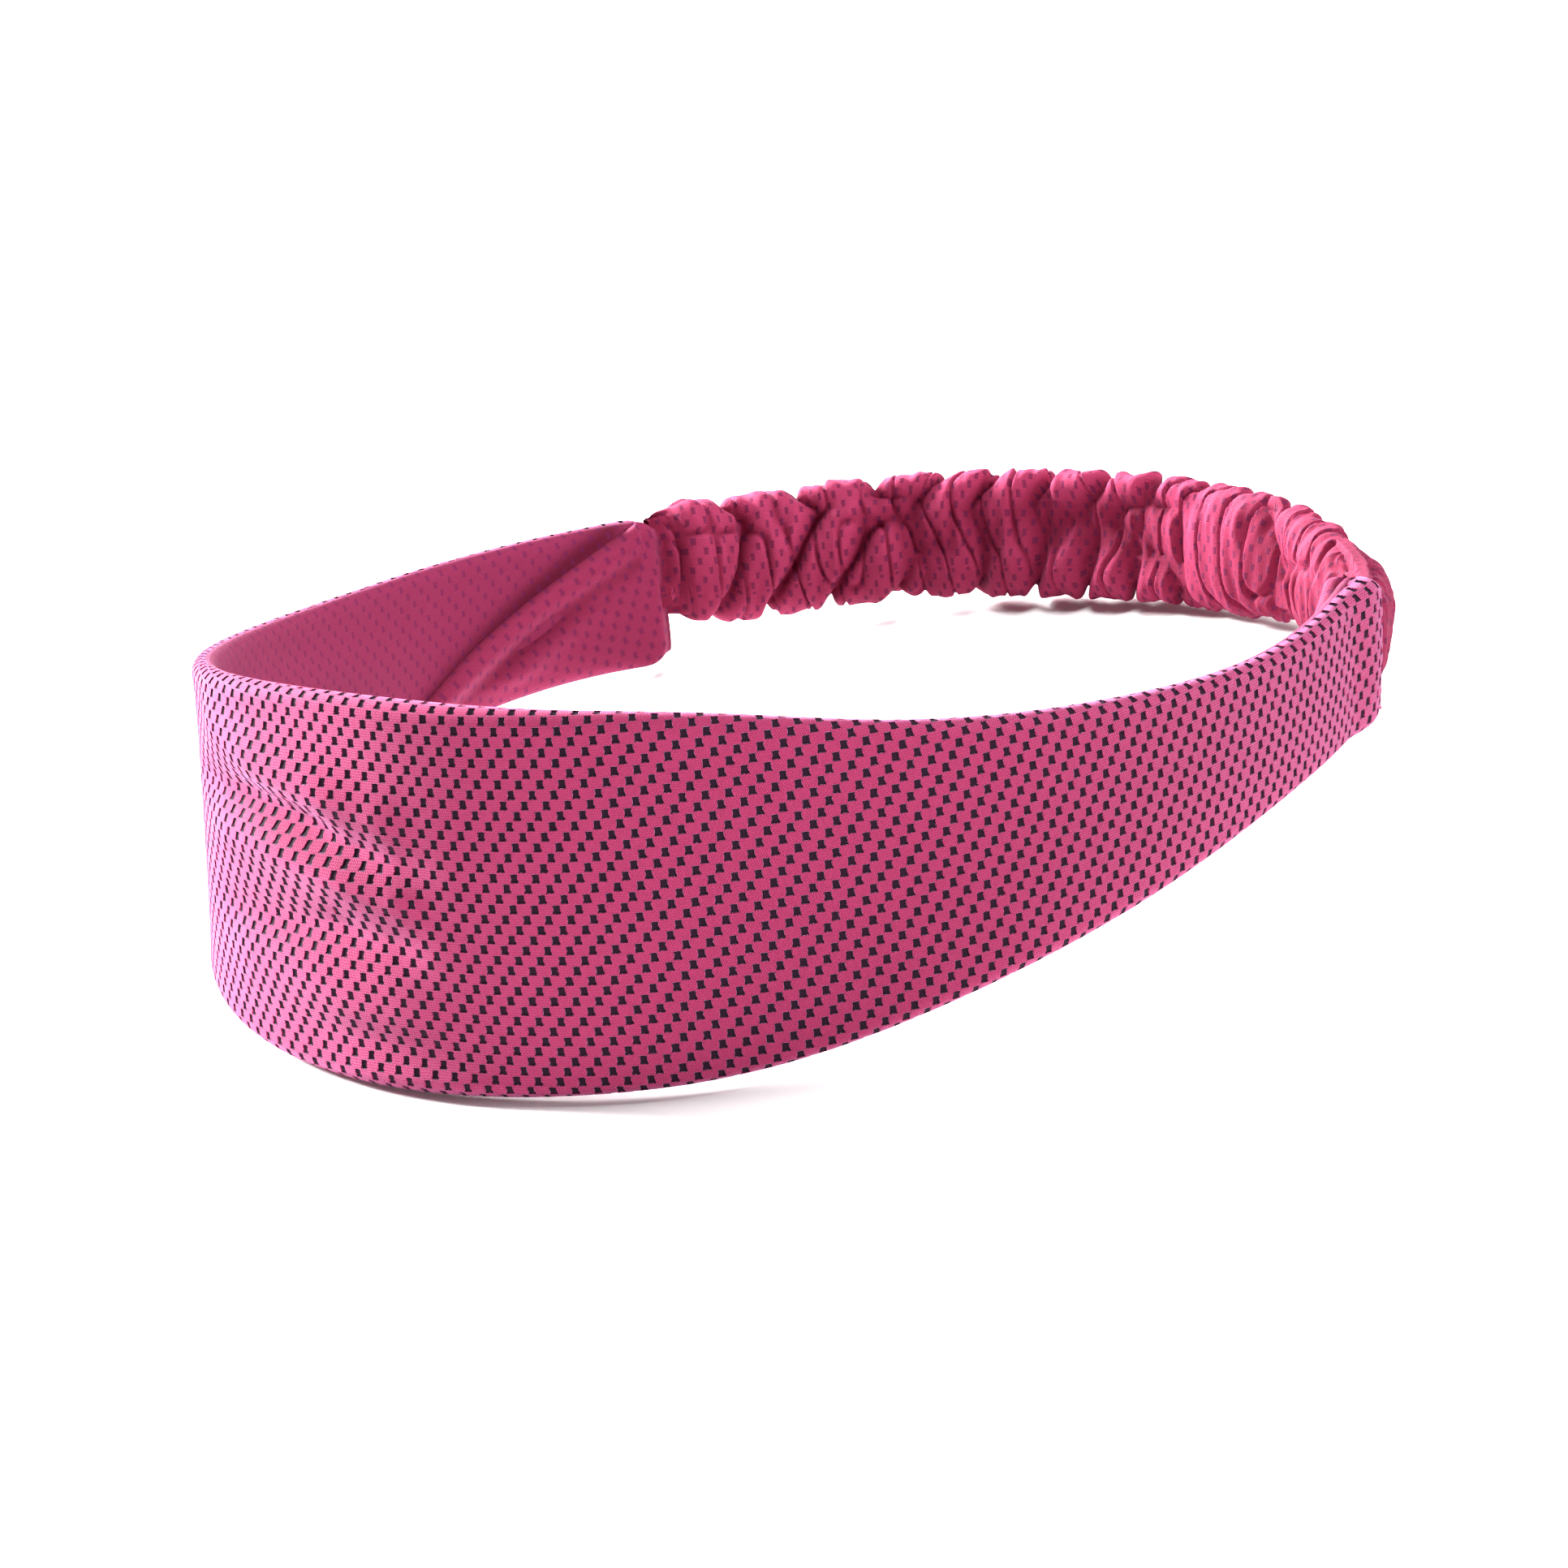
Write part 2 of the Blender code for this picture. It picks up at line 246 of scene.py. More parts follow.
def knit(name, yarn, gap, dark, dots=1.0, dot_size=1.0, stitch=0.08, sheen=0.6):
    """Mesh knit: chains of small V stitches with staggered dark eyelets in rows along the cloth.

    `gap` is the colour between stitches, a painted shade there, and `dark` the eyelets'. `dots` is how strongly the
    eyelets show,
    `dot_size` how large they are, and `stitch` the depth of the bump in millimetres.
    """
    g = Graph(name)
    uv = g.node("ShaderNodeUVMap", uv_map="cloth")
    wobble = g.noise(uv, 1.3, 2.0)
    split = g.node("ShaderNodeSeparateXYZ", {0: uv})
    s, v = split, split.node.outputs[1]
    s0 = g.math("MULTIPLY_ADD", v, SKEW, s)
    # where the point lies in its eyelet's cell: fx and fy go from -0.5 to 0.5
    rows = g.math("ADD", g.math("DIVIDE", v, ROW / MM), 0.5)
    j = g.math("FLOOR", rows)
    fy = g.math("SUBTRACT", g.math("SUBTRACT", rows, j), 0.5)
    odd = g.math("FLOORED_MODULO", j, 2.0)
    columns = g.math("ADD", g.math("DIVIDE", s0, PITCH / MM), 0.5)
    columns = g.math("SUBTRACT", columns, g.math("MULTIPLY", odd, 0.5))
    fx = g.math("SUBTRACT", g.math("FRACT", columns), 0.5)
    fx = g.math("MULTIPLY_ADD", fy, -SKEW * ROW / PITCH, fx)
    # the eyelet: flat top, pinched waist, wider foot
    ax, ay = g.math("ABSOLUTE", fx), g.math("ABSOLUTE", fy)
    waist = g.math("MULTIPLY_ADD", g.math("MULTIPLY", ay, ay), 0.15, 0.146)
    waist = g.math("MULTIPLY_ADD", fy, -0.022, waist)
    dx = g.math("SUBTRACT", ax, waist)
    dy = g.math("MULTIPLY", g.math("SUBTRACT", ay, 0.425), ROW / PITCH)
    edge = g.math("SMOOTH_MAX", dx, dy, 0.03)
    fuzz = g.math("MULTIPLY", g.math("SUBTRACT", g.noise(uv, 6.0, 2.0), 0.5), 0.05)
    edge = g.math("ADD", edge, fuzz)
    shrink = 0.055 * (1 - dot_size)
    hole = g.smooth(edge, -0.016 - shrink, 0.014 - shrink, 1.0, 0.0)
    # V stitches: wales up the cloth, courses along it
    wale = g.math("MULTIPLY", s0, WALES_PER_PITCH / (PITCH / MM))
    wale = g.math("ADD", wale, g.math("MULTIPLY", g.math("SUBTRACT", wobble, 0.5), 0.5))
    x = g.math("ABSOLUTE", g.math("SUBTRACT", g.math("FRACT", wale), 0.5))
    off_leg = g.math("ABSOLUTE", g.math("SUBTRACT", x, 0.25))
    leg = g.math("SUBTRACT", 1.0, g.math("MULTIPLY", off_leg, 3.6))
    course = g.math("MULTIPLY_ADD", v, COURSES_PER_ROW / (ROW / MM), g.math("MULTIPLY", x, 1.7))
    course = g.math("MULTIPLY_ADD", g.math("SUBTRACT", g.noise(uv, 0.7), 0.5), 0.9, course)
    wave = g.math("MULTIPLY_ADD", g.math("SINE", g.math("MULTIPLY", course, 2 * math.pi)), 0.5, 0.5)
    loop = g.math("POWER", g.math("MAXIMUM", leg, 0.0), 0.6)
    loop = g.math("MULTIPLY", loop, g.math("MULTIPLY_ADD", wave, 0.6, 0.4))
    fibre = g.noise(uv, 9.0, 3.0, 0.7)
    raised = g.math("MULTIPLY_ADD", fibre, 0.35, loop)
    # colour: painted shade between stitches, blotches, darker and redder painted shade in folds and grooves, then the
    # eyelets
    # painted shade: the gap colour where the stitches are low
    tone = g.mix(g.smooth(raised, 0.25, 1.0), gap, yarn)
    blotch = g.smooth(g.noise(uv, 0.09, 3.0), 0.3, 0.7, 0.0, 1.0)
    tone = g.mix(g.math("MULTIPLY", blotch, 0.16), tone, shaded(yarn, 0.72))
    under = g.mix(g.math("MULTIPLY", wave, 0.5), dark, shaded(dark, 2.4))
    # painted shade: a darker, redder copy of the yarn colour, mixed in by the attribute's share
    deep = g.node("ShaderNodeAttribute", output=2, attribute_name="painted_shade")  # see put_painted_shade
    tone = g.mix(deep, tone, shaded(yarn, 0.34, 0.16, 0.24))
    colour = g.mix(g.math("MULTIPLY", hole, dots), tone, under)
    rise = g.math("MULTIPLY", raised, g.math("SUBTRACT", 1.0, g.math("MULTIPLY", hole, 0.75 * dots)))
    rise = g.math("SUBTRACT", rise, g.math("MULTIPLY", hole, 0.9 * dots))
    bump = g.node("ShaderNodeBump", {"Strength": 1.0, "Distance": stitch * MM, "Height": rise})
    g.set(Base_Color=colour, Normal=bump, Specular_IOR_Level=0.1)
    g.set(Sheen_Weight=sheen, Sheen_Roughness=0.35, Sheen_Tint=(0.92, 0.56, 1.0, 1.0))
    g.set(Roughness=g.math("MULTIPLY_ADD", raised, -0.12, 0.88))
    return g.material


def ribbed(name, light, shade, per_mm):
    """Woven elastic or twisted thread: fine cords along the piece, crossed by its covering yarn."""
    g = Graph(name)
    uv = g.node("ShaderNodeUVMap", uv_map="cloth")
    split = g.node("ShaderNodeSeparateXYZ", {0: uv})
    s, v = split, split.node.outputs[1]
    cords = g.math("SINE", g.math("MULTIPLY", v, 2 * math.pi * per_mm))
    weft = g.math("SINE", g.math("MULTIPLY", s, 2 * math.pi * per_mm * 1.6))
    rise = g.math("MULTIPLY_ADD", g.math("MULTIPLY", cords, weft), 0.3, g.math("MULTIPLY", cords, 0.4))
    rise = g.math("MULTIPLY_ADD", g.noise(uv, 6.0, 3.0), 0.4, rise)
    colour = g.mix(g.smooth(rise, -0.5, 0.8), shade, light)
    bump = g.node("ShaderNodeBump", {"Strength": 0.8, "Distance": 0.08 * MM, "Height": rise})
    g.set(Base_Color=colour, Normal=bump, Roughness=0.8, Specular_IOR_Level=0.2, Sheen_Weight=0.2)
    return g.material


def plain_floor():
    g = Graph("pale_floor")
    where = g.node("ShaderNodeTexCoord", output=3)
    grain = g.noise(where, 4.0, 4.0)
    g.set(Base_Color=g.mix(grain, (0.86, 0.86, 0.86, 1), (0.9, 0.9, 0.9, 1)), Roughness=0.9)
    g.set(Specular_IOR_Level=0.0, Emission_Color=(1.0, 1.0, 1.0, 1), Emission_Strength=0.04)
    return g.material


EYELET_DARK = (0.013, 0.004, 0.011, 1)
FACE_MESH = knit("face_mesh_knit", (0.50, 0.050, 0.150, 1), (0.17, 0.008, 0.042, 1), EYELET_DARK)
LINING_KNIT = knit(
    "lining_knit",
    yarn=(0.275, 0.028, 0.086, 1),
    gap=(0.185, 0.015, 0.057, 1),
    dark=(0.08, 0.007, 0.045, 1),
    dots=0.55,
    dot_size=0.25,
    stitch=0.05,
    sheen=0.07,
)
FLAP_MESH = knit(
    "flap_mesh_knit",
    yarn=(0.35, 0.035, 0.103, 1),
    gap=(0.175, 0.0105, 0.046, 1),
    dark=(0.085, 0.007, 0.043, 1),
    dots=0.65,
    dot_size=0.35,
    sheen=0.1,
)
CASING_MESH = knit(
    "casing_mesh_knit",
    yarn=(0.54, 0.062, 0.163, 1),
    gap=(0.205, 0.012, 0.047, 1),
    dark=(0.05, 0.005, 0.030, 1),
    dots=0.65,
    dot_size=0.42,
    sheen=0.03,
)
EYELET = knit("face_mesh_eyelet", (0.030, 0.006, 0.020, 1), (0.010, 0.003, 0.008, 1), EYELET_DARK, sheen=0.0)
ELASTIC = ribbed("elastic_webbing", (0.78, 0.66, 0.69, 1), (0.45, 0.30, 0.36, 1), 0.8)
THREAD = ribbed("sewing_thread", (0.74, 0.11, 0.28, 1), (0.45, 0.04, 0.14, 1), 3.0)


# ---------------------------------------------------------------- making pieces


def make_mesh(name, points, faces, uv, material, merge=0.0):
    mesh = bpy.data.meshes.new(name)
    mesh.from_pydata(points.tolist(), [], faces)
    corner = np.empty(len(mesh.loops), np.int32)
    mesh.loops.foreach_get("vertex_index", corner)
    layer = mesh.uv_layers.new(name="cloth")
    layer.uv.foreach_set("vector", (uv[corner] / MM).astype(np.float32).ravel())
    if merge:
        b = bmesh.new()
        b.from_mesh(mesh)
        bmesh.ops.remove_doubles(b, verts=b.verts, dist=merge)
        bmesh.ops.dissolve_degenerate(b, edges=b.edges, dist=merge)
        loose = [v for v in b.verts if not v.link_faces]
        bmesh.ops.delete(b, geom=loose, context="VERTS")
        b.to_mesh(mesh)
        b.free()
    mesh.shade_smooth()
    mesh.materials.append(material)
    obj = bpy.data.objects.new(name, mesh)
    bpy.context.scene.collection.objects.link(obj)
    return obj


def grid_piece(name, points, uv, material, closed=False, flip=False):
    """points is rows x columns x 3; a closed piece joins its last column to its first."""
    rows, columns = points.shape[:2]
    if closed:  # one more column for the UVs, welded by make_mesh
        points = np.concatenate([points, points[:, :1]], 1)
        columns += 1
    index = np.arange(rows * columns).reshape(rows, columns)
    corners = [index[:-1, :-1], index[1:, :-1], index[1:, 1:], index[:-1, 1:]]
    if flip:
        corners.reverse()
    faces = np.stack(corners, -1).reshape(-1, 4).tolist()
    return make_mesh(name, points.reshape(-1, 3), faces, uv.reshape(-1, 2), material, 1e-7 if closed else 0.0)


def put_painted_shade(obj, values):
    """Marks how much painted shade each point gets, from 0 to 1, for the knit's shader: darker and redder where shade
    falls in folds, grooves, undersides and by seams. It is 0 on other pieces.
    """
    layer = obj.data.attributes.new("painted_shade", "FLOAT", "POINT")
    layer.data.foreach_set("value", np.asarray(values, np.float32).ravel())


# ---------------------------------------------------------------- the front panel


# Soft folds at the front's left bend. Each has a half breadth and a path of (s, v, height) points, in millimetres:
# a crest, or a valley where the height is below 0.
FOLDS = (
    (3.6, ((-46, 19, 0.0), (-34, 17, 1.2), (-22, 15, 2.0), (-10, 13, 1.9), (0, 11, 1.0), (8, 10, 0.2), (16, 9, 0.0))),
    (
        2.4,
        ((-52, 8, 0.0), (-38, 9.0, -1.2), (-26, 9.5, -2.4), (-14, 8.2, -2.8), (-5, 6.2, -1.6), (4, 5, -0.5), (12, 4.5, 0.0)),
    ),
    (2.5, ((-44, 3, 0.0), (-30, 3.4, 0.8), (-18, 3.2, 1.4), (-7, 1.8, 1.7), (2, 0.2, 1.0), (9, -1, 0.0))),
    (2.6, ((-44, -6, 0.0), (-30, -6, -1.0), (-18, -5.4, -1.7), (-8, -5.0, -1.6), (1, -6, -0.8), (9, -7.5, 0.0))),
    (4.5, ((-38, -12, 0.0), (-26, -12.5, 0.6), (-12, -13, 0.9), (0, -14.5, 0.5), (12, -16, 0.0))),
    (3.0, ((-24, -20, 0.0), (-12, -19.5, -0.5), (4, -20, -0.6), (18, -21, 0.0))),
    (2.2, ((-16, -23.5, 0.0), (-4, -23.5, 0.5), (8, -23.8, 0.6), (20, -24, 0.0))),
)
FOLD_DEPTH = 0.9  # share of those heights


def drape(s, v):
    """How far the soft folds stand out from the plain curve of the panel."""
    s, v = np.broadcast_arrays(s, v)
    total = 0.22 * np.sin(s / (23 * MM)) * np.cos(v / (14 * MM) + s / (41 * MM))
    for width, path in FOLDS:
        at, line, rise = np.array(path).T
        smooth_s = np.interp(s / MM, at, np.arange(len(at)))
        whole = np.clip(np.floor(smooth_s), 0, len(at) - 2).astype(int)
        share = ease(smooth_s - whole)
        top = rise[whole] + (rise[whole + 1] - rise[whole]) * share
        centre = np.interp(s / MM, at, line)
        total = total + FOLD_DEPTH * top * hump(v / MM, centre, width)
    return total * MM


def underside(s, v, step=0.4 * MM):
    """The slope of the folds where they face down, which is where their shadow lies."""
    return (drape(s, v + step) - drape(s, v - step)) / (2 * step)


def dent(turn, t, tall):
    """How far the panel's left side is pushed in."""
    across = np.sin(math.pi * np.clip(t / tall, 0, 1)) ** 0.7
    return 3.9 * MM * hump(np.degrees(turn), -66, 25) * across


def face_at(s, v, lift=0.0):
    """The outer side of the face cloth, which runs over its rolled edges to a short lip inside."""
    turn = turn_at(s)
    tall = height(turn)
    straight = tall / 2 - ROLL
    side = np.sign(v)
    past = np.maximum(np.abs(v) - straight, 0.0)
    angle = np.minimum(past / ROLL, math.pi)
    tucked = ease((angle - TUCK) / 0.7)  # past the top of the roll the edge goes under the lining
    radius = (ROLL + lift) * (1 - 0.3 * tucked)
    outer = 0.5 + 0.5 * np.cos(angle)
    beyond = np.maximum(past - math.pi * ROLL, 0.0)
    t = tall / 2 + side * (np.minimum(np.abs(v), straight) + radius * np.sin(angle) - beyond)
    swell = PILLOW * np.sin(math.pi * np.clip(t / tall, 0, 1)) * ease(tall / FRONT_HEIGHT)
    n = ROLL_N + radius * np.cos(angle) + outer * (swell + bulge(turn) + drape(s, v) - dent(turn, t, tall))
    n = n * (1 - END_PINCH * pinch(s))
    return place(turn, n, cornered(s, t, tall))


def face_reach(tall):
    """Half the face cloth's breadth, where the panel is this tall."""
    return tall / 2 + (math.pi - 1) * ROLL + LIP


# One cell of the face, in half pitches and half rows: its border, the eyelet's rim and the eyelet's floor.
CELL_BORDER = np.array([(-1, 1), (0, 1), (1, 1), (1, 0), (1, -1), (0, -1), (-1, -1), (-1, 0)])
EYELET_RIM = np.array(
    [(-0.31, 0.80), (0, 0.90), (0.33, 0.82), (0.30, 0), (0.43, -0.74), (0.03, -0.88), (-0.40, -0.80), (-0.31, 0)]
)
EYELET_RIM[:, 0] += SKEW * ROW / PITCH * EYELET_RIM[:, 1]  # upright, although the columns slant
EYELET_FLOOR = EYELET_RIM * np.array([0.86, 0.9])
CORNERS = len(CELL_BORDER)


def face_cells():
    """(s, v, lift, index): the points of all cells, and each cell's points as three rings of indices."""
    rows = int(face_reach(FRONT_HEIGHT) / ROW) + 2
    columns = int(S_END / PITCH) + 6
    j, i = np.meshgrid(np.arange(-rows, rows + 1), np.arange(-columns, columns + 1), indexing="ij")
    middle = np.stack([(2 * i + (j % 2)).ravel(), (2 * j).ravel()], -1)[:, None, :]
    whole_eyelet = rng.normal(0, 0.016, (len(middle), 1, 2)) * (1.0, 0.5)
    each_corner = rng.normal(0, 0.02, (len(middle), CORNERS, 2)) * (1.0, 0.8)
    uneven = whole_eyelet + each_corner
    rings = [middle + CELL_BORDER, middle + EYELET_RIM + uneven, middle + EYELET_FLOOR + uneven]
    cells = np.concatenate(rings, 1).astype(float)
    lift = np.zeros(cells.shape[:2])
    lift[:, 2 * CORNERS :] = -RECESS
    v = cells[..., 1] * ROW / 2
    s = cells[..., 0] * PITCH / 2 - SKEW * v
    # cells that cross the cloth's edge are cut at it, and lose their recess there
    cut = (np.abs(v) >= face_reach(height(turn_at(s)))) | (np.abs(s) >= S_END)
    keep = ~cut.all(1)
    s, v, lift, cut = s[keep], v[keep], lift[keep], cut[keep]
    s = np.clip(s, -S_END, S_END)
    limit = face_reach(height(turn_at(s)))
    v = np.clip(v, -limit, limit)
    lift[cut] = 0.0
    keys = np.round(np.stack([s, v, lift], -1).reshape(-1, 3) / 1e-6).astype(np.int64)
    _, first, index = np.unique(keys, axis=0, return_index=True, return_inverse=True)
    return s.ravel()[first], v.ravel()[first], lift.ravel()[first], index.reshape(s.shape)


def face_cloth():
    """One sheet of cells, each with a recessed eyelet."""
    s, v, lift, index = face_cells()
    faces = []
    for cell in index.tolist():
        for a, b in ((0, CORNERS), (CORNERS, 2 * CORNERS)):
            for k in range(CORNERS):
                m = (k + 1) % CORNERS
                faces.append((cell[a + m], cell[a + k], cell[b + k], cell[b + m]))
        faces.append(tuple(reversed(cell[2 * CORNERS :])))
    faces = [f for f in (tuple(dict.fromkeys(f)) for f in faces) if len(f) > 2]
    obj = make_mesh("face_cloth", face_at(s, v, lift), faces, np.stack([s, v], -1), FACE_MESH)
    ringed = np.zeros(len(s), bool)
    ringed[index[:, CORNERS:]] = True
    ends = np.empty(2 * len(obj.data.edges), np.int32)
    obj.data.edges.foreach_get("vertices", ends)
    sharp = obj.data.attributes.new("sharp_edge", "BOOLEAN", "EDGE")
    sharp.data.foreach_set("value", ringed[ends.reshape(-1, 2)].all(1))
    obj.data.materials.append(EYELET)
    is_floor = [int(len(f) == CORNERS and lift[f[0]] < 0) for f in faces]
    obj.data.polygons.foreach_set("material_index", is_floor)
    # painted shadow on the folds' downward-facing sides
    put_painted_shade(obj, 0.6 * ease(underside(s, v) / 0.36))
    return obj


def lining_at(s, w, lift=0.0):
    """The inner side: w runs from the lower roll, round it, up the inside and over the upper roll."""
    turn = turn_at(s)
    tall = height(turn)
    straight = tall / 2 - ROLL
    side = np.sign(w)
    past = np.maximum(np.abs(w) - straight, 0.0)
    angle = math.pi - np.minimum(past / ROLL, LINING_WRAP)
    radius = (ROLL + lift) * (1 - 0.1 * ease((TUCK + 0.1 - angle) / 0.2))
    t = tall / 2 + side * (np.minimum(np.abs(w), straight) + radius * np.sin(angle))
    inside = ease((straight - np.abs(w)) / (9 * MM))  # 0 at the rolls, 1 away from them
    soft = 0.3 * drape(s, w) + 0.2 * MM * np.sin(s / (17 * MM) + w / (15 * MM))
    swell = (0.75 * MM + soft) * ease(tall / (40 * MM)) - 0.8 * dent(turn, t, tall)
    n = ROLL_N + radius * np.cos(angle) + swell * inside
    n = n * (1 - END_PINCH * pinch(s))
    return place(turn, n, cornered(s, t, tall))


def flap_top(reach, rise):
    """How far across the lining a flap's slanting edge lies, where it has risen by this share."""
    return -reach + FLAP_TOE_TALL + (2 * reach - FLAP_TOE_TALL) * np.clip(rise, 0, 1)


def lining_cloth():
    s = np.linspace(-S_END, S_END, 320)[:, None]
    reach = height(turn_at(s)) / 2 - ROLL + ROLL * LINING_WRAP
    rolled = 0.86  # share of the reach where the roll starts, so that it gets closer columns
    lower, middle = np.linspace(-1, -rolled, 8)[:-1], np.linspace(-rolled, rolled, 34)
    w = reach * np.concatenate([lower, middle, np.linspace(rolled, 1, 8)[1:]])[None, :]
    uv = np.stack(np.broadcast_arrays(s, w), -1)
    obj = grid_piece("lining_cloth", lining_at(s, w), uv, LINING_KNIT, flip=True)
    # painted shadow: a dark line beside each flap's slanting edge, where the flap's shade falls on the lining
    rise = (np.abs(turn_at(s)) - FLAP_TOE) / FLAP_SPAN
    line = hump(w, flap_top(reach, rise), 2.0 * MM)
    put_painted_shade(obj, 0.95 * line * ease((rise + 0.15) / 0.2) * (1 - ease((rise - 0.9) / 0.1)))
    return obj


def flap_cloth(name, side):
    """The end of the mesh, turned in on the slant and laid over the lining."""
    s = np.linspace(arc_at(FLAP_TOE), S_END, 110)[:, None]
    turn = turn_at(s)
    reach = height(turn) / 2 - ROLL + ROLL * FLAP_WRAP
    rise = (turn - FLAP_TOE) / FLAP_SPAN
    slant = rise < 1.0
    top = flap_top(reach, rise)
    share = np.concatenate([np.linspace(0, 0.9, 34)[:-1], np.linspace(0.9, 1, 10)])[None, :]
    w = -reach + (top + reach) * share
    gap = top - w  # distance from the slanting edge
    # the slanting edge is rolled over, with a ridge and two creases beside it
    round_edge = np.sqrt(np.clip(1 - (1 - np.clip(gap / (1.5 * MM), 0, 1)) ** 2, 0, 1))
    lift = 0.5 * MM + 1.3 * MM * hump(gap, 2.0 * MM, 2.2 * MM) * slant
    lift = lift * (round_edge * slant + (1 - slant)) - 0.25 * MM * (1 - round_edge) * slant
    crease = hump(gap, 5.2 * MM, 1.3 * MM) - 0.9 * hump(gap, 8.2 * MM, 1.9 * MM)
    past_toe = ease((rise - 0.1) / 0.3)
    lift = lift - 0.75 * MM * crease * slant * past_toe * (0.6 + 0.4 * np.sin(s / (4.5 * MM)))
    lift = lift + 0.2 * MM * np.sin(s / (6.3 * MM) + w / (4.1 * MM)) * ease(gap / (3 * MM))
    # at the lower roll and at the toe it lies close on the lining
    close = 0.12 * MM
    lift = close + (lift - close) * ease((w + reach) / (3.5 * MM)) * ease(rise / 0.1 + 0.1)
    points = lining_at(s * side, w, lift)
    u, w = np.broadcast_arrays(s, w)
    c, k = math.cos(FLAP_GRAIN), math.sin(FLAP_GRAIN)
    uv = np.stack([u * c + w * k, w * c - u * k], -1)
    obj = grid_piece(name, points, uv, FLAP_MESH, flip=side > 0)
    # painted shade along the rolled slanting edge, by the end seam and in the crease
    shade = np.maximum(0.8 * (1 - round_edge) * slant, 0.8 * pinch(u) ** 2)
    put_painted_shade(obj, np.maximum(shade, 0.5 * np.clip(crease, 0, 1) * slant * past_toe))
    return obj


# ---------------------------------------------------------------- the gathered casing


def wrinkles(u, angle, wave, turns, count=46):
    """A smooth random field on the tube, even in spread.

    Its wavelengths along the tube lie in `wave` (mm), and `turns` is the usual number of waves round it.
    """
    total = np.zeros(np.broadcast(u, angle).shape)
    for _ in range(count):
        k = 2 * math.pi / rng.uniform(*wave)
        m = round(rng.normal(0, turns))
        total += np.cos(k * u + m * angle + rng.uniform(0, 6.3))
    return total / math.sqrt(count / 2)


def gathers(u, angle):
    """(rolls, groove, crease): the cloth's relief in millimetres, and where it is drawn in, from 0 to 1.

    There are wide rolls at the right end, then narrow pleats, then flatter lumps towards the left end. On the
    outer side the pleats start sooner.
    """
    wide = wrinkles(u + 3.5 * np.cos(angle), angle, (32.0, 54.0), 0.4)
    narrow = wrinkles(u + np.sin(angle), angle, (13.0, 20.0), 0.75)
    flat = wrinkles(u + 2.0 * np.sin(angle), angle, (14.0, 28.0), 1.2)
    second = wrinkles(u, angle, (7.0, 13.0), 1.7)
    small = wrinkles(u, angle, (4.0, 9.0), 2.4)
    tiny = wrinkles(u, angle, (1.6, 3.2), 4.0)
    sooner = 52 * ease(np.cos(angle) / 0.5 + 0.4)
    to_narrow, to_flat = ease((u - 58 + sooner) / 14), ease((u - 98) / 18)
    # each with its share of the cloth here and its depth
    parts = ((wide, 1.0 - to_narrow, 3.2), (narrow, to_narrow * (1 - to_flat), 3.6), (flat, to_flat, 3.4))
    rolls = sum(share * deep * (1 - (1 - np.minimum(np.abs(field), 1)) ** 2.2) for field, share, deep in parts)
    groove = sum(share * ease(1 - np.abs(field) / 0.5) for field, share, _ in parts)
    crease = ease(1 - np.abs(second) / 0.4)
    rolls += 0.2 * small + 0.08 * tiny - 0.9 * crease
    return rolls, groove, crease


